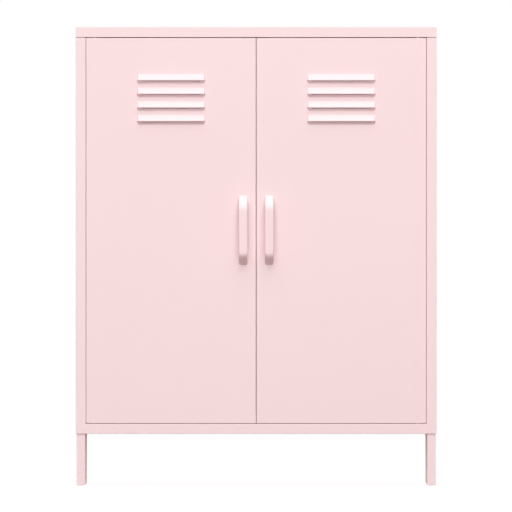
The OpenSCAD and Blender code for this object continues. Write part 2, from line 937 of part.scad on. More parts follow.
// Bow handle: sloping ends on flat feet, with a straight grip
module handle() {
    inner_slope_h = handle_slope_h + grip_t * handle_reach / handle_slope_h / 2;
    color(PAINT) difference() {
        translate([-handle_x - handle_w / 2, front_y, handle_z0])
            rotate([90, 0, 90]) linear_extrude(handle_w)
                polygon([
                    [0, 0],
                    [-handle_reach, handle_slope_h],
                    [-handle_reach, handle_len - handle_slope_h],
                    [0, handle_len],
                    [0, handle_len - handle_foot_h],
                    [grip_t - handle_reach, handle_len - inner_slope_h],
                    [grip_t - handle_reach, inner_slope_h],
                    [0, handle_foot_h]
                ]);
        for (z = handle_screw_zs)
            rod_y(
                [-handle_x, front_y - handle_screw_grip - fit_clearance, handle_z0 + z],
                handle_screw_r + hole_clearance,
                handle_screw_grip + fit_clearance + cut
            );
    }
}

module handle_screws() {
    color(STEEL) for (z = handle_screw_zs)
        translate([-handle_x, front_y + 2 * sheet_t, handle_z0 + z]) rotate([90, 0, 0])
            pan_screw(
                handle_screw_r,
                handle_screw_grip + 2 * sheet_t,
                handle_screw_head_r,
                handle_screw_head_h
            );
}

// Its children under the door's top flange, on the hinge's line
module door_top() {
    translate([-hinge_x, hinge_y, door_z1 - sheet_t]) children();
}

// Its children upside down on the door's foot flange, on the hinge's line
module door_foot() {
    translate([-hinge_x, hinge_y, door_z0 + sheet_t]) mirror([0, 0, 1]) children();
}

// Plates that back the pins, under the door's end flanges
module hinge_brackets() {
    color(STEEL) {
        door_top() hinge_bracket();
        door_foot() hinge_bracket();
    }
}

module hinge_bracket() {
    difference() {
        block(
            [-bracket_l / 2, bracket_l / 2],
            [sheet_t - hinge_setback, sheet_t - hinge_setback + bracket_d],
            [-bracket_t, 0]
        );
        rod_z([0, 0, -bracket_t - cut], pin_r + pin_clearance, bracket_t + 2 * cut);
    }
}

// Headed pins, pushed out of the door into the frame's bushes
module hinge_pins() {
    color(STEEL) {
        door_top() hinge_pin(door_top_gap);
        door_foot() hinge_pin(door_foot_gap);
    }
}

// A pin that crosses the gap given into the bush
module hinge_pin(gap) {
    translate([0, 0, -bracket_t])
        pan_screw(pin_r, bracket_t + sheet_t + gap + pin_grip, pin_head_r, pin_head_h);
}

module strike_plate() {
    color(STEEL) block(
        [-catch_x - strike_l / 2, -catch_x + strike_l / 2],
        [door_back_y, door_back_y + strike_t],
        [magnet_z - strike_h / 2, magnet_z + strike_h / 2]
    );
}

// ---- Nodes ----

top_panel();
header_channel();
stile();  // left_stile
mirror([1, 0, 0]) stile();  // right_stile
bottom_rail();
side_panel();  // left_side_panel
mirror([1, 0, 0]) side_panel();  // right_side_panel
back_panel();
floor_panel();
leg(true);  // front_left_leg
mirror([1, 0, 0]) leg(true);  // front_right_leg
at_rear() leg(false);  // rear_left_leg
mirror([1, 0, 0]) at_rear() leg(false);  // rear_right_leg
leg_screws();
leg_nuts();
foot_glides();
top_screws();
back_screws();
shelf_uprights();
shelf_clips();
shelf(lower_shelf_slot);  // lower_shelf
shelf(upper_shelf_slot);  // upper_shelf
hinge_bushes();
catch_housings();
catch_magnets();
catch_screws();
door_stop_bracket();
door_buffers();
wall_anchor_plates();
door_panel();  // left_door_panel
door_stiffener();  // left_door_stiffener
handle();  // left_handle
handle_screws();  // left_handle_screws
hinge_brackets();  // left_hinge_brackets
hinge_pins();  // left_hinge_pins
strike_plate();  // left_strike_plate
mirror([1, 0, 0]) door_panel();  // right_door_panel
mirror([1, 0, 0]) door_stiffener();  // right_door_stiffener
mirror([1, 0, 0]) handle();  // right_handle
mirror([1, 0, 0]) handle_screws();  // right_handle_screws
mirror([1, 0, 0]) hinge_brackets();  // right_hinge_brackets
mirror([1, 0, 0]) hinge_pins();  // right_hinge_pins
mirror([1, 0, 0]) strike_plate();  // right_strike_plate
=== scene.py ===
# %% [markdown]
# # A steel locker cabinet, dressed over its construction model
#
# The cabinet is folded from thin sheet steel and powder-coated pale pink: a cap on top, a welded
# front frame, two inset doors with pressed louvres and bow handles, and four folded legs. The
# construction model already holds every piece at its real size. This file gives the pieces that
# show their true pressed and folded shapes, and gives every surface its finish.

# %% Load the construction model as the frame
import json

import bmesh
import bpy
import numpy as np
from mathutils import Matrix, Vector


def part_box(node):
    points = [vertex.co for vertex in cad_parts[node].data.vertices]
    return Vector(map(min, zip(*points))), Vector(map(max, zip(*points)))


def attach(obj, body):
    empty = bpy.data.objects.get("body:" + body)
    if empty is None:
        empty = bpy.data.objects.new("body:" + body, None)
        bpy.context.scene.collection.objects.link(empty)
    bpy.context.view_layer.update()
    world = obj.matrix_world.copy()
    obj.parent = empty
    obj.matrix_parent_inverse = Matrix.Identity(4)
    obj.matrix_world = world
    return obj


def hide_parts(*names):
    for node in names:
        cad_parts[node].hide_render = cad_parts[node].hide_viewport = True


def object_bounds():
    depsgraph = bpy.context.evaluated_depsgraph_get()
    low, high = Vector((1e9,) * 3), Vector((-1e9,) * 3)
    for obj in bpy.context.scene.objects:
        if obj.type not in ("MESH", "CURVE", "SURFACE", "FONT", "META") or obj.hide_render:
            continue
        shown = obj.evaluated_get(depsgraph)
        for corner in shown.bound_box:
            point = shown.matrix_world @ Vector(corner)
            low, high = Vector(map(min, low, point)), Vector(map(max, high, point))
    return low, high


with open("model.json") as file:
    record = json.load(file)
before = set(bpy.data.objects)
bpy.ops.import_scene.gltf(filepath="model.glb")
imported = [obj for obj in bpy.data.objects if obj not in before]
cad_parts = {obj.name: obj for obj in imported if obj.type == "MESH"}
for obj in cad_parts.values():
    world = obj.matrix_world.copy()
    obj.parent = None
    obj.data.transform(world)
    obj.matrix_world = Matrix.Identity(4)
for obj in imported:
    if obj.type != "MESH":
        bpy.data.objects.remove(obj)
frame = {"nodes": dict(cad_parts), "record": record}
cad_box = [[float(value) for value in corner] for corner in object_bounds()]
print("construction model's box:", cad_box)

# %% [markdown]
# ## Camera
# Furniture is best shown from far away with a long lens, so that its upright edges stay parallel
# and the rear legs hide behind the front ones. Moving the camera far back and lengthening the
# lens by the same factor keeps the size and takes nearly all the perspective away. The camera
# looks straight at the doors, at the middle of the cabinet's height.

# %% Camera
VIEW_WIDTH = 1.1343            # metres that the view takes in at the doors
VIEW_DISTANCE = 40.0
CAMERA_SIDE = -0.0004          # the camera's place to the side of the cabinet's middle
CAMERA_RISE = 0.0001           # and above it
SENSOR_MM = 36.0
CLIP_END = 300.0

front_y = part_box("bottom_rail")[0][1]
camera_data = bpy.data.cameras.new("camera")
camera_data.sensor_width = SENSOR_MM
camera_data.lens = SENSOR_MM * VIEW_DISTANCE / VIEW_WIDTH
camera_data.clip_end = CLIP_END
camera = bpy.data.objects.new("camera", camera_data)
camera.location = (CAMERA_SIDE, front_y - VIEW_DISTANCE, cad_box[1][2] / 2 + CAMERA_RISE)
camera.rotation_euler = (np.pi / 2, 0.0, 0.0)
bpy.context.scene.collection.objects.link(camera)
bpy.context.scene.camera = camera
bpy.context.scene.view_settings.view_transform = "Standard"
print("doors' face at y =", round(front_y, 4), "and a lens of", round(camera_data.lens), "mm")

# %% [markdown]
# ## Helpers for materials
# A finish is a small graph of nodes. These helpers keep each graph short: one makes a node and
# sets its inputs, one links two sockets, one starts a material with its shader, and one draws
# noise of a given grain size in metres. All patterns read Object coordinates, and every piece
# sits at the origin, so a grain has the same real size on each of them.

# %% Helpers for nodes
def add_node(owner, kind, settings=(), **inputs):
    """A node in a material or world, with its settings and the values of its named inputs."""
    node = owner.node_tree.nodes.new(kind)
    for key, value in dict(settings).items():
        setattr(node, key, value)
    for key, value in inputs.items():
        node.inputs[key.replace("_", " ")].default_value = value
    return node


def link(owner, source, target):
    """Feeds one socket's value into another."""
    owner.node_tree.links.new(source, target)


def new_material(name, kind="ShaderNodeBsdfPrincipled", **inputs):
    """A node material and its shader, which is linked to the output."""
    material = bpy.data.materials.new(name)
    material.use_nodes = True
    material.node_tree.nodes.clear()
    shader = add_node(material, kind, **inputs)
    output = add_node(material, "ShaderNodeOutputMaterial")
    link(material, shader.outputs[0], output.inputs["Surface"])
    return material, shader


print("node helpers ready for Blender", bpy.app.version_string)

# %% Helpers for patterns
NOISE_MIDDLE = (0.3, 0.7)      # nearly all of a noise texture's values lie between these


def noise(material, grain, detail=2.0, stretch=(1.0, 1.0, 1.0)):
    """Noise between 0 and 1 whose blotches are about grain metres across."""
    place = add_node(material, "ShaderNodeTexCoord")
    scale = add_node(material, "ShaderNodeMapping", Scale=stretch)
    texture = add_node(material, "ShaderNodeTexNoise", Scale=1.0 / grain, Detail=detail)
    link(material, place.outputs["Object"], scale.inputs["Vector"])
    link(material, scale.outputs["Vector"], texture.inputs["Vector"])
    return texture.outputs["Fac"]


def remap(material, value, low=0.0, high=1.0):
    """Stretches the middle of a noise value over the range from low to high."""
    start, end = NOISE_MIDDLE
    node = add_node(
        material, "ShaderNodeMapRange", From_Min=start, From_Max=end, To_Min=low, To_Max=high
    )
    link(material, value, node.inputs["Value"])
    return node.outputs["Result"]


def blend(material, factor, first, second):
    """Mixes two colours or colour sockets by a factor."""
    node = add_node(material, "ShaderNodeMix", {"data_type": "RGBA"})
    link(material, factor, node.inputs[0])
    for value, socket in ((first, node.inputs[6]), (second, node.inputs[7])):
        if isinstance(value, bpy.types.NodeSocket):
            link(material, value, socket)
        else:
            socket.default_value = (*value, 1.0)
    return node.outputs[2]


def bump(material, height, depth, normal=None):
    """A bump of that depth in metres, laid over an earlier one if normal is given."""
    node = add_node(material, "ShaderNodeBump", Distance=depth)
    link(material, height, node.inputs["Height"])
    if normal:
        link(material, normal, node.inputs["Normal"])
    return node.outputs["Normal"]


def finished(material, shader, colour, roughness, normal):
    """The material, once its shader is fed with a colour, a roughness and a normal."""
    for name, value in (("Base Color", colour), ("Roughness", roughness), ("Normal", normal)):
        link(material, value, shader.inputs[name])
    return material


print("noise is stretched from", NOISE_MIDDLE, "to the range that a finish asks for")

# %% [markdown]
# ## Powder coat
# The paint is sprayed on as dry powder and baked. It levels into a satin skin with a fine orange
# peel of about 2 mm and a still finer grain, its colour drifts a little over a panel, and it
# thins on outside folds, where it looks slightly paler and glossier; only the paler colour is
# drawn here. The folded pieces carry an attribute called fold, which is 1 on a bend, so the
# thinning follows the real edges. Pieces with no such attribute read 0 there.

# %% Powder coat
PINK = (0.917, 0.748, 0.760)
PINK_DEEP = (0.902, 0.728, 0.741)
PINK_THIN = (0.924, 0.771, 0.783)


def powder_coat(name, roughness=0.52, peel_depth=0.00005):
    """Satin powder coat: drifting colour, orange peel and fine grain, thinner on the folds."""
    material, shader = new_material(name, IOR=1.46, Specular_IOR_Level=0.25)
    drift = remap(material, noise(material, grain=0.35, detail=3.0))
    speckle = remap(material, noise(material, grain=0.0012))
    fold = add_node(material, "ShaderNodeAttribute", {"attribute_name": "fold"})
    drifted = blend(material, drift, PINK, PINK_DEEP)
    speckled = blend(material, speckle, drifted, PINK)
    edge = add_node(material, "ShaderNodeMath", {"operation": "MULTIPLY"})
    link(material, fold.outputs["Fac"], edge.inputs[0])
    uneven = remap(material, noise(material, grain=0.006), 0.1, 0.8)
    link(material, uneven, edge.inputs[1])
    thinned = blend(material, edge.outputs["Value"], speckled, PINK_THIN)
    blotches = noise(material, grain=0.02, detail=3.0)
    shine = remap(material, blotches, roughness - 0.03, roughness + 0.04)
    peel = bump(material, noise(material, grain=0.0022, detail=1.0), peel_depth)
    fine = bump(material, noise(material, grain=0.0007), peel_depth * 0.25, peel)
    return finished(material, shader, thinned, shine, fine)


pink_paint = powder_coat("pink_paint")
door_paint = powder_coat("door_paint")
handle_paint = powder_coat("handle_paint", roughness=0.4, peel_depth=0.00003)
print("powder coats:", pink_paint.name, door_paint.name, handle_paint.name)

# %% [markdown]
# ## Metal, plastic and rubber
# The fittings inside are bright zinc-plated steel, which shows a fine drawn grain and a faint
# blue and straw mottling. The bushes, glides and catch housings are moulded: matt, with a very
# fine spark-eroded texture. The magnets are sintered and dark, and the buffers are rubber.

# %% Metal, plastic and rubber
def zinc_steel(name):
    """Zinc-plated steel: metallic, mottled, with a grain drawn along X."""
    material, shader = new_material(name, Metallic=1.0)
    mottle = remap(material, noise(material, grain=0.008, detail=4.0))
    colour = blend(material, mottle, (0.60, 0.61, 0.64), (0.68, 0.67, 0.64))
    drawn = noise(material, grain=0.004, detail=4.0, stretch=(0.1, 8.0, 8.0))
    shine = remap(material, drawn, 0.28, 0.42)
    return finished(material, shader, colour, shine, bump(material, drawn, depth=0.00001))


def moulded(name, light, dark, roughness, grain=0.0005, depth=0.00003):
    """Moulded plastic, rubber or sintered magnet: two close colours and a fine texture."""
    material, shader = new_material(name)
    cloud = remap(material, noise(material, grain=0.01, detail=3.0))
    texture = noise(material, grain)
    matt = remap(material, texture, roughness - 0.05, roughness + 0.05)
    colour = blend(material, cloud, light, dark)
    return finished(material, shader, colour, matt, bump(material, texture, depth))


finishes = {
    "pink_paint": pink_paint,
    "door_paint": door_paint,
    "handle_paint": handle_paint,
    "zinc_steel": zinc_steel("zinc_steel"),
    "nylon": moulded("nylon", (0.42, 0.41, 0.40), (0.36, 0.35, 0.34), 0.5),
    "catch_plastic": moulded("catch_plastic", (0.78, 0.76, 0.76), (0.72, 0.70, 0.70), 0.45),
    "magnet": moulded("magnet", (0.055, 0.055, 0.06), (0.035, 0.035, 0.04), 0.55, grain=0.001),
    "rubber": moulded("rubber", (0.08, 0.075, 0.08), (0.05, 0.048, 0.05), 0.7),
}
slot_of = {entry["node"]: entry["material_slot"] for entry in frame["record"]["subparts"]}
for node_name, node_object in frame["nodes"].items():
    node_object.data.materials.clear()
    node_object.data.materials.append(finishes[slot_of[node_name]])
print("finishes:", ", ".join(finishes))

# %% [markdown]
# ## Helpers for surfaces
# Every new shape below is a grid: points laid out in rows and columns by a formula, with a
# four-sided face between neighbours. Several grids are stacked into one mesh, points that meet
# are merged, and two modifiers finish the sheet: Solidify gives it the steel's thickness, and
# Weighted Normal keeps the flats flat next to the rounded folds.

# %% Helpers for surfaces
MM = 0.001
MERGE = 0.002 * MM             # points closer than this become one
SHARP = np.radians(40.0)       # edges that turn more than this are drawn sharp


def grid_faces(rows, columns, keep=None, flip=False):
    """Four-sided faces between neighbours in a grid, without those where keep is False."""
    index = np.arange(rows * columns).reshape(rows, columns)
    faces = np.stack([index[:-1, :-1], index[1:, :-1], index[1:, 1:], index[:-1, 1:]], axis=-1)
    faces = faces.reshape(-1, 4) if keep is None else faces[keep]
    return faces[:, ::-1] if flip else faces


def sheet(points, fold=0.0, keep=None, flip=False):
    """One grid as a patch: its points, the fold value of each point, and its faces."""
    rows, columns = points.shape[:2]
    folds = np.broadcast_to(np.asarray(fold, dtype=float), (rows, columns)).ravel()
    return points.reshape(-1, 3), folds, grid_faces(rows, columns, keep, flip)


def reflect(patches, axis, plane=0.0):
    """The patches mirrored in a plane across an axis, each face turned round with them.

    The coordinate becomes twice the plane minus itself, and reversing a face's corners keeps its
    outside outside.
    """
    mirrored = []
    for points, folds, faces in patches:
        points = points.copy()
        points[:, axis] = 2.0 * plane - points[:, axis]
        mirrored.append((points, folds, faces[:, ::-1]))
    return mirrored


print("a grid of 3 by 4 points has", len(grid_faces(3, 4)), "faces")

# %% Helpers for pieces
def make_piece(name, patches, body, slot, replaced=(), thickness=0.0, edge=0.0):
    """Stacks patches into one mesh, merges what meets, and rides it on its body.

    With a thickness the surface becomes a sheet of steel behind it; without one it is a closed
    skin. edge is the radius of its bevelled corners.
    """
    starts = np.cumsum([0] + [len(points) for points, folds, faces in patches])
    points = np.concatenate([patch[0] for patch in patches])
    folds = np.concatenate([patch[1] for patch in patches])
    faces = np.concatenate([patch[2] + start for patch, start in zip(patches, starts)])
    mesh = bpy.data.meshes.new(name)
    mesh.from_pydata(points.tolist(), [], faces.tolist())
    mesh.attributes.new("fold", "FLOAT", "POINT").data.foreach_set("value", folds)
    merge_points(mesh, outward=not thickness)
    finish_piece(name, mesh, body, slot, replaced, thickness, edge)


def merge_points(mesh, outward, flat_angle=None):
    """Merges points that meet; a closed skin also gets its faces turned outwards.

    With a flat angle, faces that meet at less than it are joined into one.
    """
    merged = bmesh.new()
    merged.from_mesh(mesh)
    bmesh.ops.remove_doubles(merged, verts=merged.verts, dist=MERGE)
    if flat_angle is None:
        bmesh.ops.dissolve_degenerate(merged, edges=merged.edges, dist=MERGE)
    else:
        bmesh.ops.dissolve_limit(
            merged, angle_limit=flat_angle, verts=merged.verts, edges=merged.edges
        )
    if outward:
        bmesh.ops.recalc_face_normals(merged, faces=merged.faces)
    merged.to_mesh(mesh)
    merged.free()


def finish_piece(name, mesh, body, slot, replaced=(), thickness=0.0, edge=0.0):
    """Gives a mesh its wall, its softened edges, its finish and its body."""
    piece = bpy.data.objects.new(name, mesh)
    bpy.context.scene.collection.objects.link(piece)
    if thickness:
        wall = piece.modifiers.new("wall", "SOLIDIFY")
        wall.thickness = thickness
        wall.offset = -1.0
        wall.use_even_offset = True
    if edge:
        rounding = piece.modifiers.new("edges", "BEVEL")
        rounding.width = edge
        rounding.segments = 2
        rounding.limit_method = "ANGLE"
        rounding.angle_limit = SHARP
    solid = bpy.data.meshes.new_from_object(
        piece.evaluated_get(bpy.context.evaluated_depsgraph_get())
    )
    piece.modifiers.clear()
    solid.name = name
    solid.shade_smooth()
    solid.set_sharp_from_angle(angle=SHARP)
    solid.materials.clear()
    solid.materials.append(finishes[slot])
    piece.data = solid
    flats = piece.modifiers.new("flats", "WEIGHTED_NORMAL")
    flats.keep_sharp = True
    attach(piece, body)
    if replaced:
        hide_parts(*replaced)
    print(name, "faces:", len(solid.polygons))


def make_pair(name, patches, node, slot, body=None, thickness=0.0):
    """A left piece and its reflection, riding on their doors unless a body is named."""
    for side, drawn in (("left", patches), ("right", reflect(patches, 0))):
        replaced = (f"{side}_{node}",)
        make_piece(f"{side}_{name}", drawn, body or f"{side}_door", slot, replaced, thickness)


print("points within", MERGE / MM, "mm of each other are merged")

# %% [markdown]
# ## Folded pans
# The doors, the top cap, the shelves and the floor are all pans: a flat sheet whose four edges
# are folded back, and on some of them folded in again as a lip. One function makes them all. Its
# rim is a profile carried round the flat sheet: at each station of the rim the profile moves out
# by an offset and back by a depth. At a corner the station turns through a quarter circle, so
# the outer corner is round, and where the lip turns in, the corner is mitred.

# %% The folds and the rim of a pan
SHEET = 1.2 * MM               # thickness of the steel
BEND = 1.3 * MM                # outside radius of a fold
BEND_STEPS = 5

# A fold is a quarter circle: how far it reaches out and back along its angle, and its fold value.
bend_angle = np.linspace(0.0, np.pi / 2, BEND_STEPS + 1)
bend_out = BEND * np.sin(bend_angle)
bend_back = BEND * (1.0 - np.cos(bend_angle))
bend_fold = np.sin(2.0 * bend_angle)


def fold_profile(flange, lips):
    """Offsets of the four sides and the depth along a folded edge.

    A quarter turn leaves the flat sheet, the flange runs straight back, and a second quarter
    turn leads into the lip. lips holds one lip width for each side, or is None where the flange
    ends plainly.
    """
    if lips is None:
        offset = np.append(bend_out, BEND)
        return np.tile(offset, (4, 1)), np.append(bend_back, flange), np.append(bend_fold, 0.0)
    offset = np.concatenate([bend_out, BEND - bend_back])
    depth = np.concatenate([bend_back, flange - BEND + bend_out, [flange]])
    fold = np.concatenate([bend_fold, bend_fold, [0.0]])
    return np.stack([np.append(offset, BEND - lip) for lip in lips]), depth, fold


def pan_rim(u_lines, v_lines, offsets):
    """In-plane places of the rim, as stations round the pan by steps along the profile.

    offsets are those of the sides at low u, high u, low v and high v. A station on a side lies a
    share of the way between the two ends of that side; a corner station adds the two neighbours'
    offsets times the cosine and the sine of its angle.
    """
    outward = np.maximum(offsets, 0.0)
    inward = np.minimum(offsets, 0.0)
    share_u = (u_lines - u_lines[0]) / (u_lines[-1] - u_lines[0])
    share_v = (v_lines - v_lines[0]) / (v_lines[-1] - v_lines[0])
    rising, falling = np.sin(bend_angle), np.cos(bend_angle)
    zeros_u, zeros_v, zeros = (np.zeros_like(line) for line in (share_u, share_v, bend_angle))
    ones_u, ones_v, ones = zeros_u + 1.0, zeros_v + 1.0, zeros + 1.0
    share = np.concatenate([share_u, ones, ones_v, ones, share_u[::-1], zeros, zeros_v, zeros])
    rise = np.concatenate([zeros_u, zeros, share_v, ones, ones_u, ones, share_v[::-1], zeros])
    push_u = np.concatenate(
        [zeros_u, rising, ones_v, falling, zeros_u, -rising, -ones_v, -falling]
    )
    push_v = np.concatenate(
        [-ones_u, -falling, zeros_v, rising, ones_u, falling, zeros_v, -rising]
    )
    low_u, high_u = u_lines[0] - inward[0], u_lines[-1] + inward[1]
    low_v, high_v = v_lines[0] - inward[2], v_lines[-1] + inward[3]
    side_u = np.where(push_u[:, None] > 0, outward[1], outward[0])
    side_v = np.where(push_v[:, None] > 0, outward[3], outward[2])
    u = low_u + share[:, None] * (high_u - low_u) + push_u[:, None] * side_u
    v = low_v + rise[:, None] * (high_v - low_v) + push_v[:, None] * side_v
    return u, v


print("a fold's reach outwards, mm:", np.round(bend_out / MM, 2))

# %% A whole pan
def folded_pan(u_range, v_range, flange, lips, place, u_lines=(), v_lines=(), face=None):
    """The patches of a pan: its face, and its rim of folds.

    place turns in-plane coordinates and a depth behind the face into points. face, if given,
    turns the grid of the flat sheet into a pressed one and says which of its faces to keep.
    """
    inner_u = [u_range[0] + BEND, u_range[1] - BEND]
    inner_v = [v_range[0] + BEND, v_range[1] - BEND]
    u_lines = np.unique(np.concatenate([inner_u, u_lines]))
    v_lines = np.unique(np.concatenate([inner_v, v_lines]))
    offsets, depth, fold = fold_profile(flange, lips)
    rim_u, rim_v = pan_rim(u_lines, v_lines, offsets)
    rim = place(rim_u, rim_v, np.broadcast_to(depth, rim_u.shape))
    sheet_u, sheet_v = np.meshgrid(u_lines, v_lines, indexing="ij")
    if face is None:
        points, keep = place(sheet_u, sheet_v, np.zeros_like(sheet_u)), None
    else:
        points, keep = face(sheet_u, sheet_v)
    rim = np.concatenate([rim, rim[:1]])
    return [sheet(points, keep=keep), sheet(rim, fold=fold, flip=True)]


def front_place(face_y):
    """Place for a pan that faces the front: u is x, v is z, and depth goes back along +Y."""
    return lambda u, v, depth: np.stack([u, face_y + depth, v], axis=-1)


def top_place(face_z):
    """Place for a pan that faces up: u is x, v is y, and depth goes down."""
    return lambda u, v, depth: np.stack([u, v, face_z - depth], axis=-1)


print("folds of", round(BEND / MM, 2), "mm radius in sheet of", round(SHEET / MM, 2), "mm")

# %% [markdown]
# ## Doors and their louvres
# A louvre lets air through without letting anyone look in. A press slits the sheet and pushes it
# out above the slit, which leaves a hood that slopes forward to a lip and an underside that drops
# back to the door. The sheet stretches but never folds sharply, so the shape is drawn here as a
# height above the door: the lowest of the hood's slope, the underside's slope and the two ends,
# with the crests between them rounded by a soft minimum and the foot blended into the flat sheet.

# %% Sizes of the louvres
LOUVRE_COUNT = 4
LOUVRE_PITCH = 30.2 * MM
LOUVRE_HALF = 75.8 * MM
LOUVRE_DROP = 79.8 * MM        # the first louvre's top edge, below the top of the door
HOOD = 13.2 * MM               # height of the hood's slope
UNDERSIDE = 7.6 * MM           # height of the slope under the lip
REACH = 7.0 * MM               # where the two slopes would meet, in front of the door
BULGE = -0.1                   # share by which the slope is steeper at its top; below 0, gentler
TOP_CORNER = (3.0 * MM, 1.5 * MM)  # height and width of the rounding at the top corners
FLARE = (4.0 * MM, 1.2 * MM)   # height over the lip in which the hood widens, and by how much
DRAW_IN = 5.0 * MM             # how far each end draws in under the lip
END = 2.4 * MM                 # over which a louvre's ends rise
CREST = 0.6 * MM               # rounding of the lip
FOOT = 0.4 * MM                # rounding where the louvre leaves the sheet
SLIT = (15.0 * MM, 16.7 * MM)  # air slit, measured down from the top edge
SLIT_HALF = 66.0 * MM          # half the length of the slit
END_ZONE = (15.0 * MM, 2.0 * MM)  # in from an end: mesh lines start to bend, and follow it
EASE = (2.4 * MM, 1.5 * MM)    # how far above and below a louvre they straighten again

door_low, door_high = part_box("left_door_panel")
door_x = (door_low[0], door_high[0])
door_z = (door_low[2], door_high[2])
door_flange = door_high[1] - front_y
louvre_x = (door_x[0] + door_x[1]) / 2
louvre_tops = door_z[1] - LOUVRE_DROP - LOUVRE_PITCH * np.arange(LOUVRE_COUNT)
print("louvres' top edges, mm:", np.round(louvre_tops / MM, 1))

# %% The shape of a louvre
def louvre_outline(drop):
    """Half width at a drop below the top edge.

    The top corners are rounded along a parabola, the hood widens evenly in its last stretch
    above the lip, and under the lip the outline draws in along a power curve.
    """
    corner = 1.0 - np.clip(drop / TOP_CORNER[0], 0.0, 1.0)
    narrow = np.clip((HOOD - drop) / FLARE[0], 0.0, 1.0)
    below = np.clip((drop - HOOD) / UNDERSIDE, 0.0, 1.0)
    return LOUVRE_HALF - TOP_CORNER[1] * corner ** 2 - FLARE[1] * narrow - DRAW_IN * below ** 1.6


def louvre_height(side, drop):
    """Height of one louvre above the sheet at a distance to the side and a drop.

    Down the middle it is the soft minimum of the hood, a shallow parabola, and the underside, a
    straight slope, passed through a soft maximum with nothing. Towards an end the height is
    multiplied by one minus a power of what is left of the end, which rises steeply and rounds
    over.
    """
    down = drop / HOOD
    hood = REACH * down * (1.0 + BULGE * (1.0 - down))
    under = REACH * (HOOD + UNDERSIDE - drop) / UNDERSIDE
    slopes = np.stack([hood, under]) / CREST
    least = slopes.min(axis=0)
    soft = least - np.log(np.exp(least - slopes).sum(axis=0))
    middle = FOOT * np.logaddexp(0.0, soft * CREST / FOOT)
    left = 1.0 - np.clip((louvre_outline(drop) - np.abs(side)) / END, 0.0, 1.0)
    return middle * (1.0 - left ** 2.5)


print("height of a louvre at its lip, mm:", round(float(louvre_height(0.0, HOOD)) / MM, 2))

# %% The louvred sheet
def louvred_face(u, v):
    """The door's front sheet: its points, and which of its faces to keep.

    Near a louvre's ends the upright lines shift sideways to follow the outline, so the mesh runs
    along the crest. A face is left out where its middle lies in a slit.
    """
    side = u - louvre_x
    middles = louvre_tops - (HOOD + UNDERSIDE) / 2
    near = np.argmin(np.abs(v[..., None] - middles), axis=-1)
    drop = louvre_tops[near] - v
    inside = np.clip(1.0 + drop / EASE[0], 0.0, 1.0)
    inside = inside * np.clip(1.0 + (HOOD + UNDERSIDE - drop) / EASE[1], 0.0, 1.0)
    straight = np.abs(side)
    zone = [-END_ZONE[0], -END_ZONE[1], 0.0, DRAW_IN]
    at_end = np.interp(straight - LOUVRE_HALF, zone, [0.0, 1.0, 1.0, 0.0])
    side = side + np.sign(side) * (louvre_outline(drop) - LOUVRE_HALF) * at_end * inside
    points = np.stack([louvre_x + side, front_y - louvre_height(side, drop), v], axis=-1)
    middle_drop = (drop[:-1, :-1] + drop[1:, 1:]) / 2
    middle_side = (straight[:-1, :-1] + straight[1:, 1:]) / 2
    slit = (middle_drop > SLIT[0]) & (middle_drop < SLIT[1]) & (middle_side < SLIT_HALF)
    return points, ~(slit & (near[:-1, :-1] == near[1:, 1:]))


def graded(stops, steps):
    """Lines through all the stops, each stretch between two stops divided by its own step."""
    parts = [
        np.linspace(start, end, max(2, int(round((end - start) / step)) + 1))
        for start, end, step in zip(stops[:-1], stops[1:], steps)
    ]
    return np.unique(np.round(np.concatenate(parts), 9))


# Mesh lines lie closest at the ends, along the lip and round the slit, where the sheet bends.
half_stops = np.array([60.0 * MM, SLIT_HALF, 71.0 * MM, 80.0 * MM])
side_stops = np.concatenate([-half_stops[::-1], half_stops])
side_steps = np.array([0.45, 0.8, 1.5, 12.0, 1.5, 0.8, 0.45]) * MM
drop_stops = np.array([-EASE[0], 0.0, 11.4 * MM, *SLIT, 21.7 * MM, 23.7 * MM])
drop_steps = np.array([0.6, 0.7, 0.36, 0.6, 0.5, 0.7]) * MM
side_lines = louvre_x + graded(side_stops, side_steps)
height_lines = (louvre_tops[:, None] - graded(drop_stops, drop_steps)).ravel()
print("mesh lines across and up a door:", len(side_lines), len(height_lines))

# %% [markdown]
# ## The door pan
# Each door is one sheet with its four edges folded back by 18 mm and folded in again by 12 mm, so
# it is stiff and has no sharp edge. Folding and painting leave the edges a hair proud, so the
# skin is drawn up to 0.2 mm wider at its sides and its foot, which makes the gaps finer. The left
# door is drawn, and the right one is its reflection.

# %% Door panels
DOOR_LIP = 12.0 * MM           # width of the lips along a door's four edges
PROUD = 0.2 * MM               # how far a folded edge stands out past the solid's

left_door = folded_pan(
    (door_x[0] - PROUD, door_x[1] + PROUD / 2),
    (door_z[0] - PROUD, door_z[1]),
    door_flange,
    (DOOR_LIP,) * 4,
    front_place(front_y),
    u_lines=side_lines,
    v_lines=height_lines,
    face=louvred_face,
)
make_pair("door_skin", left_door, "door_panel", "door_paint", thickness=SHEET)

# %% [markdown]
# ## Handles
# The handle is a bow: it leaves the door on a flat foot, slopes out, runs straight as the grip
# and slopes back. Such a bow is cast or bent from flat bar. It is drawn as a section carried
# between two paths, one along its front and one along its back. Each path is a chain of straight
# runs whose corners are parabolas, and the section is a rectangle with rounded corners.

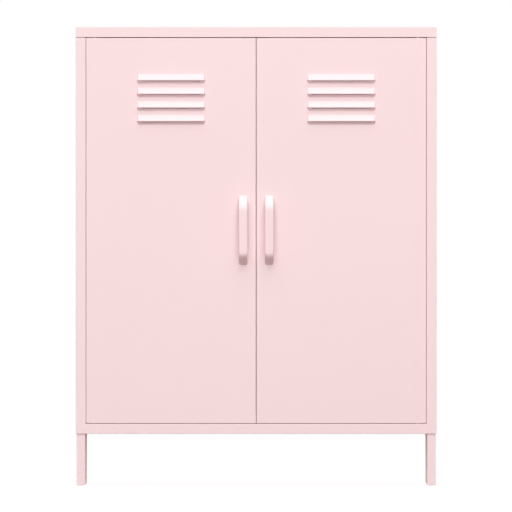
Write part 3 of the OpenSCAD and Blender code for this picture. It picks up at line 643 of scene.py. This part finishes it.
# %% Paths and sections
def rounded_path(corners, radii, straight_steps=6, corner_steps=12):
    """A chain of straight runs whose inner corners are parabolas that start a radius away.

    A parabola through A and B with its control point P is (1-t)^2 A + 2t(1-t) P + t^2 B.
    """
    corners = np.array(corners, dtype=float)
    ahead = np.diff(corners, axis=0)
    ahead = ahead / np.linalg.norm(ahead, axis=1, keepdims=True)
    share = np.linspace(0.0, 1.0, corner_steps)[:, None]
    run = np.linspace(0.0, 1.0, straight_steps)[1:-1, None]
    parts, start = [], corners[0]
    for corner, before, after, radius in zip(corners[1:-1], ahead[:-1], ahead[1:], radii):
        a, b = corner - before * radius, corner + after * radius
        parts += [start[None], start + (a - start) * run]
        parts.append((1 - share) ** 2 * a + 2 * share * (1 - share) * corner + share ** 2 * b)
        start = b
    parts += [start + (corners[-1] - start) * run, corners[-1:]]
    return np.concatenate(parts)


def corner_turns(points):
    """The outline of a rectangle with round corners, as angles and the signs of its corners.

    Each corner is a quarter circle of that many points, and the first point comes again last.
    """
    turn = np.linspace(0.0, np.pi / 2, points)
    angle = np.concatenate([turn + quarter * np.pi / 2 for quarter in range(4)] + [[2 * np.pi]])
    corner = np.repeat([0, 1, 2, 3, 0], [points, points, points, points, 1])
    return angle, np.array([1, -1, -1, 1])[corner], np.array([1, 1, -1, -1])[corner]


print("a section with 6 points at a corner has", len(corner_turns(6)[0]), "points")

# %% Bow handles
GRIP = 6.0 * MM                # thickness of the grip
HANDLE_FOOT = 16.0 * MM        # height of a foot on the door
SLOPES = (19.5 * MM, 22.3 * MM)  # heights of the lower and the upper sloping end
FRONT_BENDS = (8.0 * MM, 11.0 * MM)  # how far from its corner each bend of the front starts
BACK_BENDS = (8.0 * MM, 8.0 * MM)  # and each bend of the back
END_SHIFT = (-0.8 * MM, -0.3 * MM)  # the lower and the upper end, measured from the solid's
SECTION_CORNERS = (1.7 * MM, 4.2 * MM)  # corner radius of the section at the grip and the feet
CORNER_POINTS = 6


def bow(box, foot_y):
    """The handle's skin.

    At each station the section's middle lies half way between the front and the back path. Its
    corners are quarter circles about points drawn in by the corner radius, which grows towards
    the feet. The first and last rings close on the middles of the feet.
    """
    low, high = box
    foot_z = low[2] + END_SHIFT[0]
    length, reach = high[2] + END_SHIFT[1] - foot_z, foot_y - low[1]
    lower, upper = SLOPES
    front = [(0, 0), (lower, reach), (length - upper, reach), (length, 0)]
    back = [
        (HANDLE_FOOT, 0), (lower + GRIP * reach / lower / 2, reach - GRIP),
        (length - upper - GRIP * reach / upper / 2, reach - GRIP), (length - HANDLE_FOOT, 0),
    ]
    front, back = rounded_path(front, FRONT_BENDS), rounded_path(back, BACK_BENDS)
    middle, across = (front + back) / 2, (front - back) / 2
    half_t = np.linalg.norm(across, axis=1)
    across = across / half_t[:, None]
    radius = np.interp(half_t, [GRIP / 2, HANDLE_FOOT / 2], SECTION_CORNERS)
    angle, sign_w, sign_t = corner_turns(CORNER_POINTS)
    half_w = (high[0] - low[0]) / 2
    side = sign_w * (half_w - radius)[:, None] + radius[:, None] * np.cos(angle)
    out = sign_t * (half_t - radius)[:, None] + radius[:, None] * np.sin(angle)
    z = foot_z + middle[:, :1] + across[:, :1] * out
    y = foot_y - middle[:, 1:] - across[:, 1:] * out
    rings = np.stack([(low[0] + high[0]) / 2 + side, y, z], axis=-1)
    poles = rings[[0, -1]].mean(axis=1, keepdims=True).repeat(rings.shape[1], axis=1)
    return [sheet(np.concatenate([poles[:1], rings, poles[1:]]))]


make_pair("bow_handle", bow(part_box("left_handle"), front_y), "handle", "handle_paint")

# %% [markdown]
# ## The body's shell
# The stiles and the bottom rail are welded into one frame and ground flush, so no seam shows
# between them. Its section runs from the jamb inside the opening, round a bend to the face, and
# round the outer bend to where the side panel starts. The rim of a pan has the same layout, so
# the frame is that rim with the stretch over the opening left out: the path goes down the left
# stile, along the rail and up the right stile. The sill and the rail's underside are short runs
# of flat sheet that carry on from it.

# %% Front frame
top_low, top_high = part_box("top_panel")
half_w, back_y = top_high[0], top_high[1]
seat_z = top_low[2]
rail_low, rail_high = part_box("bottom_rail")
stile_w, rail_h = half_w - rail_high[0], rail_high[2] - rail_low[2]
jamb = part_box("left_stile")[1][1] - front_y
SEAM = 0.7 * MM                # paint-filled seam under the top cap
TIGHTER = 0.5                  # height of the rail's lower bend as a share of its depth


def frame_profile():
    """Offsets of the frame's four sides and its depth, from the jamb to the outer edge.

    The jamb comes forward, turns through a quarter circle to the face, and turns back through
    another at the outer edge. Offsets count from the start of the outer bend, so they are
    negative up to there. The rail's outer bend is a quarter ellipse, lower than it is deep. The
    side over the opening isn't used, and its offsets are nothing.
    """
    inner = BEND + np.append(0.0, bend_back)
    depth = np.concatenate([[jamb], BEND - bend_out, bend_back])
    fold = np.concatenate([[0.0], bend_fold, bend_fold])
    stile = np.concatenate([inner - stile_w, bend_out])
    rail = np.concatenate([inner - rail_h, BEND - TIGHTER * (BEND - bend_out)])
    return np.stack([stile, stile, rail, np.zeros_like(depth)]), depth, fold


offsets, depth, fold = frame_profile()
frame_u, frame_v = pan_rim(
    np.array([BEND - half_w, half_w - BEND]),
    np.array([rail_low[2] + BEND, seat_z - SEAM]),
    offsets,
)
# The stations go foot, right, top, left, each with its corner after it.
side_stations, corner_stations = 2, BEND_STEPS + 1
left_start = 3 * (side_stations + corner_stations)
used = 3 * side_stations + 2 * corner_stations
frame_u = np.roll(frame_u, -left_start, axis=0)[:used]
frame_v = np.roll(frame_v, -left_start, axis=0)[:used]
frame_rim = front_place(front_y)(frame_u, frame_v, np.broadcast_to(depth, frame_u.shape))


def flat_run(x, y, z):
    """A flat sheet between two values of x and two of y, at a height."""
    u, v = np.meshgrid(x, y, indexing="ij")
    return top_place(z)(u, v, np.zeros_like(u))


sill = flat_run([rail_low[0], rail_high[0]], [front_y + jamb, rail_high[1]], rail_high[2])
underside = flat_run([BEND - half_w, half_w - BEND], [front_y + BEND, rail_high[1]], rail_low[2])
make_piece(
    "front_frame",
    [sheet(frame_rim, fold=fold, flip=True), sheet(sill), sheet(underside, flip=True)],
    "cabinet",
    "pink_paint",
    replaced=("left_stile", "right_stile", "bottom_rail"),
    thickness=SHEET,
)

# %% [markdown]
# ## Side panels
# A side panel is a sheet with a flange folded in along its top and its foot. It starts where the
# frame's outer bend ends, with the same bend radius, so the two read as one shell. The flanges
# start behind the front lip of the top cap and the sill. A strip inside the rear edge carries
# the back panel's screws.

# %% Side panels
side_low, side_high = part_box("left_side_panel")
flange_x = side_high[0] - side_low[0] - half_w
REAR_LIP = 16.0 * MM           # how far the strip inside the rear edge reaches in
REAR_LIP_SETBACK = 5.4 * MM    # how far it lies in front of that edge


def side_section():
    """The sheet's outer line in x and z, from the foot's flange up to the top's.

    The foot's corner is a fold, and the top's is the same fold upside down.
    """
    low, high = side_low[2], side_high[2]
    corner = BEND - bend_out - half_w
    x = np.concatenate([[flange_x], corner, corner[::-1], [flange_x]])
    z = np.concatenate([[low], low + bend_back, high - bend_back[::-1], [high]])
    return x, z, np.concatenate([[0.0], bend_fold, bend_fold[::-1], [0.0]])


section_x, section_z, section_fold = side_section()
side_y = np.array([front_y + BEND, rail_high[1], side_high[1]])
side_points = np.stack(
    np.broadcast_arrays(section_x[None], side_y[:, None], section_z[None]), axis=-1
)
has_flange = np.ones((len(side_y) - 1, len(section_x) - 1), dtype=bool)
has_flange[0, [0, -1]] = False
lip_x, lip_z = np.meshgrid(
    [SHEET - half_w, REAR_LIP - half_w], [rail_high[2], seat_z - SHEET], indexing="ij"
)
rear_lip = front_place(side_high[1] - REAR_LIP_SETBACK)(lip_x, lip_z, np.zeros_like(lip_x))
left_side = [
    sheet(side_points, fold=section_fold, keep=has_flange, flip=True), sheet(rear_lip)
]
make_pair("side_sheet", left_side, "side_panel", "pink_paint", "cabinet", SHEET)

# %% [markdown]
# ## Top cap, floor and shelves
# These are pans that lie flat. The cap's edges turn in again as lips that rest on the stiles and
# side panels; the front lip is wider, because the header channel and the catches are fixed to
# it. The floor and the shelves stand on the plain edges of their flanges.

# %% Top cap, floor and shelves
LIP = 16.0 * MM                # width of the cap's lips, but for the front one
front_lip = rail_high[1] - front_y


def lying_pan(node, lips=None):
    """A pan that fills a node's box, with its sheet on top."""
    low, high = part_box(node)
    return folded_pan(
        (low[0], high[0]), (low[1], high[1]), high[2] - low[2], lips, top_place(high[2])
    )


for name, node, lips in (
    ("top_cap", "top_panel", (LIP, LIP, front_lip, LIP)),
    ("floor_pan", "floor_panel", None),
    ("lower_shelf_pan", "lower_shelf", None),
    ("upper_shelf_pan", "upper_shelf", None),
):
    make_piece(
        name, lying_pan(node, lips), "cabinet", "pink_paint", replaced=(node,), thickness=SHEET
    )

# %% [markdown]
# ## Legs
# Each leg is folded from one strip: a flange along the side, the face, and a stiffening lip that
# is bent back and inwards, so from the front it shows as a narrow dark strip beside the face.
# The foot of the lip is trimmed on a slope so that it never touches the floor. The section is a
# path in plan, and the leg is that path carried up, with the lower edge lifted along the lip. A
# plate at the top takes the screws and one at the foot takes the glide.

# %% A leg's strip
LEG_STEEL = 1.5 * MM
LEG_FACE = 18.9 * MM           # width of the face
LEG_SIDE = 30.0 * MM           # depth of the flange along the side
LEG_LIP = 13.0 * MM            # width of the lip
LEG_LIP_ANGLE = np.radians(72.0)  # by which it is bent back from the face
LEG_TRIM = 8.0 * MM            # how much shorter the lip is at its free edge
LEG_BEND = 0.9 * MM            # how far from a corner of the path its bend starts
LEG_SHADOW = 1.1 * MM          # gap between a leg's strip and the body
FOOT_DROP = 1.1 * MM           # how far the strip reaches down past the foot plate
TURN_TO_FOLD = 4.0             # fold value per radian of turn between neighbours

leg_low, leg_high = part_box("front_left_leg")
lip_end = (
    LEG_FACE + LEG_LIP * np.cos(LEG_LIP_ANGLE),
    LEG_LIP * np.sin(LEG_LIP_ANGLE),
)


def leg_strip(corners):
    """The outside of a leg: a path in plan carried from the foot up to the body.

    The lower edge climbs with the distance past the face's inner edge, which trims the lip.
    """
    path = rounded_path(corners, (LEG_BEND,) * (len(corners) - 2), 3, 6)
    past = np.clip((path[:, 0] - LEG_FACE) / (lip_end[0] - LEG_FACE), 0.0, 1.0)
    heading = np.unwrap(np.arctan2(*np.gradient(path, axis=0).T))
    fold = np.clip(np.abs(np.gradient(heading)) * TURN_TO_FOLD, 0.0, 1.0)
    low = leg_low[2] - FOOT_DROP + LEG_TRIM * past
    levels = np.stack([low, np.full(len(path), leg_high[2] - LEG_SHADOW)], axis=1)
    plan = np.broadcast_to((path + leg_low.xy)[:, None], (len(path), 2, 2))
    return sheet(np.concatenate([plan, levels[..., None]], axis=-1), fold=fold[:, None])


angle_corners = [(0.0, LEG_SIDE), (0.0, 0.0), (LEG_FACE, 0.0)]
lipped, plain = [leg_strip(angle_corners + [lip_end])], [leg_strip(angle_corners)]
print("width of a front leg with its lip, mm:", round(lip_end[0] / MM, 1))

# %% A leg's plates
FOOT_DEPTH = 18.0 * MM         # of the foot plate, from front to back
PLATE_WIDTH = 23.5 * MM        # of the top plate, which ends just past the strip's lip
PLATE_GAP = 0.05 * MM          # between a plate's edges and the strip
PLATE_BURR = 0.3 * MM
PLATE_CORNER_POINTS = 5


def plate(x, y, z, radius, thickness):
    """A flat plate with rounded upright corners, closed all round.

    Its outline is four quarter circles; the rings go from the middle of its underside out,
    up and back to the middle of its top.
    """
    angle, sign_x, sign_y = corner_turns(PLATE_CORNER_POINTS)
    centre = np.array([(x[0] + x[1]) / 2, (y[0] + y[1]) / 2])
    half = np.array([(x[1] - x[0]) / 2, (y[1] - y[0]) / 2])
    circle = np.column_stack([np.cos(angle), np.sin(angle)])
    outline = centre + np.column_stack([sign_x, sign_y]) * (half - radius) + radius * circle
    middle = np.broadcast_to(centre, outline.shape)
    rings = np.stack([middle, outline, outline, middle])
    heights = np.array([z, z, z + thickness, z + thickness])
    heights = np.broadcast_to(heights[:, None, None], (*rings.shape[:2], 1))
    return sheet(np.concatenate([rings, heights], axis=-1))


inner = LEG_STEEL + PLATE_GAP
plates = [
    plate(
        (leg_low[0] + inner, leg_low[0] + width),
        (leg_low[1] + inner, end_y),
        z,
        radius,
        LEG_STEEL,
    )
    for width, end_y, z, radius in (
        (PLATE_WIDTH, leg_high[1], leg_high[2] - LEG_STEEL, 3.0 * MM),
        (LEG_FACE - inner, leg_low[1] + FOOT_DEPTH, leg_low[2], 2.0 * MM),
    )
]
print("plates of a leg:", len(plates), "of", round(LEG_STEEL / MM, 2), "mm")

# %% The four legs
middle_y = (front_y + back_y) / 2
legs = {
    "front_left": (lipped, lambda patches: patches),
    "front_right": (lipped, lambda patches: reflect(patches, 0)),
    "rear_left": (plain, lambda patches: reflect(patches, 1, middle_y)),
    "rear_right": (plain, lambda patches: reflect(reflect(patches, 0), 1, middle_y)),
}
for corner_name, (strip, placed) in legs.items():
    for part, patches, thickness, edge in (
        ("strip", strip, LEG_STEEL, 0.0), ("plates", plates, 0.0, PLATE_BURR)
    ):
        leg = f"{corner_name}_leg"
        make_piece(
            f"{leg}_{part}", placed(patches), "cabinet", "pink_paint", (leg,), thickness, edge
        )

# %% [markdown]
# ## Finding the screws
# The construction model keeps many screws in one node, so where each one sits has to be found
# first. Points that edges join belong together: they get the same label, and the box round each
# label is one screw. Copying the places by hand would be shorter, but they would go wrong as
# soon as the construction model changed.

# %% Islands of a node
def islands(node):
    """Lowest and highest corners of the separate solids in a node.

    Points at the same place share a number. Every edge then gives its two numbers the lower of
    their labels, over and over, until nothing changes.
    """
    mesh = frame["nodes"][node].data
    points = np.empty(len(mesh.vertices) * 3)
    mesh.vertices.foreach_get("co", points)
    points = points.reshape(-1, 3)
    edges = np.empty(len(mesh.edges) * 2, dtype=np.int32)
    mesh.edges.foreach_get("vertices", edges)
    number = np.unique(np.round(points / MERGE), axis=0, return_inverse=True)[1].ravel()
    ends = number[edges.reshape(-1, 2)]
    label = np.arange(number.max() + 1)
    while True:
        least = label[ends].min(axis=1)
        lower = label.copy()
        np.minimum.at(lower, ends[:, 0], least)
        np.minimum.at(lower, ends[:, 1], least)
        lower = lower[lower]
        if np.array_equal(lower, label):
            break
        label = lower
    labels = label[number]
    return [
        (points[labels == one].min(axis=0), points[labels == one].max(axis=0))
        for one in np.unique(labels)
    ]


print("leg screws found:", len(islands("leg_screws")))

# %% [markdown]
# ## Screws
# The screws are pan heads with a cross recess and a rolled thread. A screw is a turned surface,
# whose radius is a function of the place along its axis. The thread adds a ridge that climbs with
# the angle, and the cross is pressed into the head as a drop that depends on the place across it.
# The dome has the most rings, because the cross needs them and the head is what shows.

# %% The skin of a screw
THREAD_PITCH = 1.3 * MM
THREAD_DEPTH = 0.14            # share of the shank's radius
RINGS_PER_TURN = 6
SCREW_SIDES = 40
DOME_RINGS = 18
TIP_SLOPE = 0.9                # length of the tip's cone, as a share of the shank's radius
TIP_BLUNT = 0.05               # radius of its end, as a share of the shank's
SEAT_EDGE = (0.96, 0.08)       # the flat's radius and its rounding's height, as head's shares
RIM_HEIGHT = 0.35              # where the dome starts, as a share of the head's height
CROSS_ARM = 0.58               # share of the head's radius
CROSS_WALL = 0.16              # width of the cross's sloping wall, as such a share
CROSS_FLOOR = 0.6              # half the width of its floor, as a share of the wall's
CROSS_DEPTH = 0.55             # share of the head's height


def cross_slot(along, across, head_r):
    """Depth of one slot of the cross, from 0 outside it to 1 on its floor.

    It is the product of two ramps, one towards the slot's ends and one towards its sides.
    """
    arm, wall = CROSS_ARM * head_r, CROSS_WALL * head_r
    ends = np.clip((arm - np.abs(along)) / wall, 0.0, 1.0)
    return ends * np.clip(1.0 + CROSS_FLOOR - np.abs(across) / wall, 0.0, 1.0)


def screw_skin(length, shank_r, head_r, head_h):
    """A screw along +z from its head's seat at 0, as rings by angles.

    From the tip: a cone, the threaded shank, the flat under the head, its rounded rim and a
    dome, which is part of an ellipse. The thread's ridge is a triangle wave of the place along
    the axis plus the share of a turn.
    """
    turns = np.linspace(0.0, 1.0, max(8, int(length / THREAD_PITCH * RINGS_PER_TURN)))
    share = np.linspace(0.0, 1.0, DOME_RINGS)
    shank_z = length * (1.0 - turns)
    taper = np.clip((length - shank_z) / (TIP_SLOPE * shank_r), TIP_BLUNT, 1.0)
    dome_r = head_r * np.cos(share * np.pi / 2)
    dome_z = -head_h * (RIM_HEIGHT + (1.0 - RIM_HEIGHT) * np.sin(share * np.pi / 2))
    flat_r, edge_h = SEAT_EDGE
    radius = np.concatenate([[0.0], shank_r * taper, [head_r * flat_r, head_r], dome_r])
    z = np.concatenate([[length], shank_z, [0.0, -edge_h * head_h], dome_z])
    angle = np.linspace(0.0, 2 * np.pi, SCREW_SIDES + 1)
    wave = np.abs(((z[:, None] / THREAD_PITCH + angle / (2 * np.pi)) % 1.0) * 2.0 - 1.0)
    on_shank = np.zeros(len(z))
    on_shank[1:len(shank_z)] = 1.0
    ring = radius[:, None] * (1.0 - THREAD_DEPTH * wave * on_shank[:, None])
    x, y = ring * np.cos(angle), ring * np.sin(angle)
    cross = np.maximum(cross_slot(x, y, head_r), cross_slot(y, x, head_r))
    on_dome = np.arange(len(z)) >= len(z) - DOME_RINGS
    rise = CROSS_DEPTH * head_h * cross * on_dome[:, None]
    return np.stack([x, y, z[:, None] + rise], axis=-1)


sample = screw_skin(12 * MM, 2 * MM, 4 * MM, 2.5 * MM)
print("rings and angles of a 12 mm screw:", sample.shape[:2])

# %% Placing the screws
UP = np.eye(3)
FORWARD = np.array([[1.0, 0.0, 0.0], [0.0, 0.0, 1.0], [0.0, -1.0, 0.0]])


def screws(node, turn, head_h, shank_share):
    """All the screws of a node, each in its island's box.

    turn is the matrix whose rows take the screw's x, y and z to the cabinet's axes. The head's
    radius is half the box's width, and the shank's radius is a share of it.
    """
    patches = []
    for low, high in islands(node):
        size = high - low
        head_r = size[0] / 2
        length = size[2] if turn is UP else size[1]
        skin = screw_skin(length - head_h, shank_share * head_r, head_r, head_h) @ turn
        seat = (low + high) / 2
        if turn is UP:
            seat[2] = low[2] + head_h
        else:
            seat[1] = high[1] - head_h
        patches.append(sheet(skin + seat))
    return patches


for node, turn, head_mm, shank_share, body in (
    ("leg_screws", UP, 3.0, 0.55, "cabinet"),
    ("top_screws", UP, 2.0, 0.5, "cabinet"),
    ("back_screws", FORWARD, 2.0, 0.5, "cabinet"),
    ("catch_screws", UP, 1.8, 0.5, "cabinet"),
    ("left_handle_screws", FORWARD, 2.5, 0.5, "left_door"),
    ("right_handle_screws", FORWARD, 2.5, 0.5, "right_door"),
):
    patches = screws(node, turn, head_mm * MM, shank_share)
    make_piece(f"cross_{node}", patches, body, "zinc_steel", replaced=(node,))

# %% [markdown]
# ## Fittings with softened edges
# The remaining fittings already have their real shape in the construction model. No real edge is
# perfectly sharp: stamped steel has a small burr rolled over, and moulded plastic has a radius.
# So each is copied, the copy's loose triangles are merged and its flat faces joined, and a bevel
# rounds the edges. The copy stands in for the node.

# %% Softened fittings
FLAT = np.radians(0.5)         # faces that meet at less than this are one flat


def softened(node, body, radius):
    """A merged copy of a node with bevelled edges, in the node's own finish."""
    mesh = frame["nodes"][node].data.copy()
    merge_points(mesh, outward=True, flat_angle=FLAT)
    finish_piece(f"{node}_soft", mesh, body, slot_of[node], (node,), edge=radius)


for node, radius_mm in {
    "header_channel": 0.5,
    "back_panel": 0.3,
    "leg_nuts": 0.3,
    "foot_glides": 0.35,
    "shelf_uprights": 0.3,
    "shelf_clips": 0.4,
    "hinge_bushes": 0.2,
    "catch_housings": 0.8,
    "catch_magnets": 0.4,
    "door_stop_bracket": 0.4,
    "door_buffers": 0.6,
    "wall_anchor_plates": 0.5,
}.items():
    softened(node, "cabinet", radius_mm * MM)
for side in ("left", "right"):
    for node, radius_mm in {
        "door_stiffener": 0.4,
        "hinge_brackets": 0.4,
        "hinge_pins": 0.3,
        "strike_plate": 0.4,
    }.items():
        softened(f"{side}_{node}", f"{side}_door", radius_mm * MM)

# %% [markdown]
# ## Floor
# The floor is a plain sheet that looks nearly white and keeps the cabinet's shadow. How bright
# it looks and how much light it throws up are set apart with Light Path: the eye, a reflection
# and a view through glass see it glow, while the light that spreads off it stays weak, so the
# undersides of the louvres and handles keep their shade. The same choice serves the world.

# %% Floor
FLOOR_X, FLOOR_Y = (-9.0, 9.0), (-14.0, 5.0)


def seen_by_eye(owner):
    """A node value that is one for camera, glossy and transmission rays and nothing for others."""
    path = add_node(owner, "ShaderNodeLightPath")
    value = path.outputs["Is Camera Ray"]
    for name in ("Is Glossy Ray", "Is Transmission Ray"):
        larger = add_node(owner, "ShaderNodeMath", {"operation": "MAXIMUM"})
        link(owner, value, larger.inputs[0])
        link(owner, path.outputs[name], larger.inputs[1])
        value = larger.outputs["Value"]
    return value


floor_paint, both = new_material("floor_paint", "ShaderNodeAddShader")
matt = add_node(floor_paint, "ShaderNodeBsdfDiffuse", Color=(0.13, 0.045, 0.045, 1.0))
white = add_node(floor_paint, "ShaderNodeEmission", Strength=0.95)
link(floor_paint, seen_by_eye(floor_paint), white.inputs["Color"])
link(floor_paint, matt.outputs["BSDF"], both.inputs[0])
link(floor_paint, white.outputs["Emission"], both.inputs[1])

floor_mesh = bpy.data.meshes.new("floor")
floor_points, _, floor_faces = sheet(flat_run(FLOOR_X, FLOOR_Y, 0.0))
floor_mesh.from_pydata(floor_points.tolist(), [], floor_faces.tolist())
floor_mesh.materials.append(floor_paint)
floor = bpy.data.objects.new("floor", floor_mesh)
bpy.context.scene.collection.objects.link(floor)
print("floor, m:", FLOOR_X, "by", FLOOR_Y)

# %% [markdown]
# ## Light
# Soft light from large lamps shows sheet metal best, because a small lamp draws hard glints on
# every bend. A wide lamp in front lights the doors evenly. One high above it lights the hoods of
# the louvres and draws the soft shade under their lips. Two more stand behind the cabinet's
# front, so its sides and back can be seen too but the doors get nothing of them. The world fills
# in from all round, a touch warm, as the light in a room of pale walls is.

# %% Lamps and world
middle = Vector((0.0, 0.0, cad_box[1][2] / 2))


def soft_lamp(name, place, width, height, energy):
    """A wide lamp at a place, turned to face the middle of the cabinet."""
    data = bpy.data.lights.new(name, "AREA")
    data.shape = "RECTANGLE"
    data.size = width
    data.size_y = height
    data.energy = energy
    lamp = bpy.data.objects.new(name, data)
    lamp.location = place
    lamp.rotation_euler = (middle - Vector(place)).to_track_quat("-Z", "Y").to_euler()
    bpy.context.scene.collection.objects.link(lamp)


for name, place, width, height, energy in (
    ("front_lamp", (0.0, -12.2, 3.4), 12.0, 4.0, 845.0),
    ("top_lamp", (0.0, -5.4, 10.0), 9.0, 7.0, 700.0),
    ("left_rear_lamp", (-10.0, 5.5, 2.8), 6.0, 4.5, 800.0),
    ("right_rear_lamp", (10.0, 5.5, 2.8), 6.0, 4.5, 800.0),
):
    soft_lamp(name, place, width, height, energy)

world = bpy.data.worlds.new("studio")
world.use_nodes = True
world.node_tree.nodes.clear()
bpy.context.scene.world = world
output = add_node(world, "ShaderNodeOutputWorld")
fill = add_node(world, "ShaderNodeBackground", Strength=0.4, Color=(1.0, 0.95, 0.95, 1.0))
backdrop = add_node(world, "ShaderNodeBackground", Strength=1.0, Color=(1.0, 1.0, 1.0, 1.0))
choice = add_node(world, "ShaderNodeMixShader")
link(world, seen_by_eye(world), choice.inputs[0])
link(world, fill.outputs["Background"], choice.inputs[1])
link(world, backdrop.outputs["Background"], choice.inputs[2])
link(world, choice.outputs["Shader"], output.inputs["Surface"])
print("lamps:", ", ".join(light.name for light in bpy.data.lights))
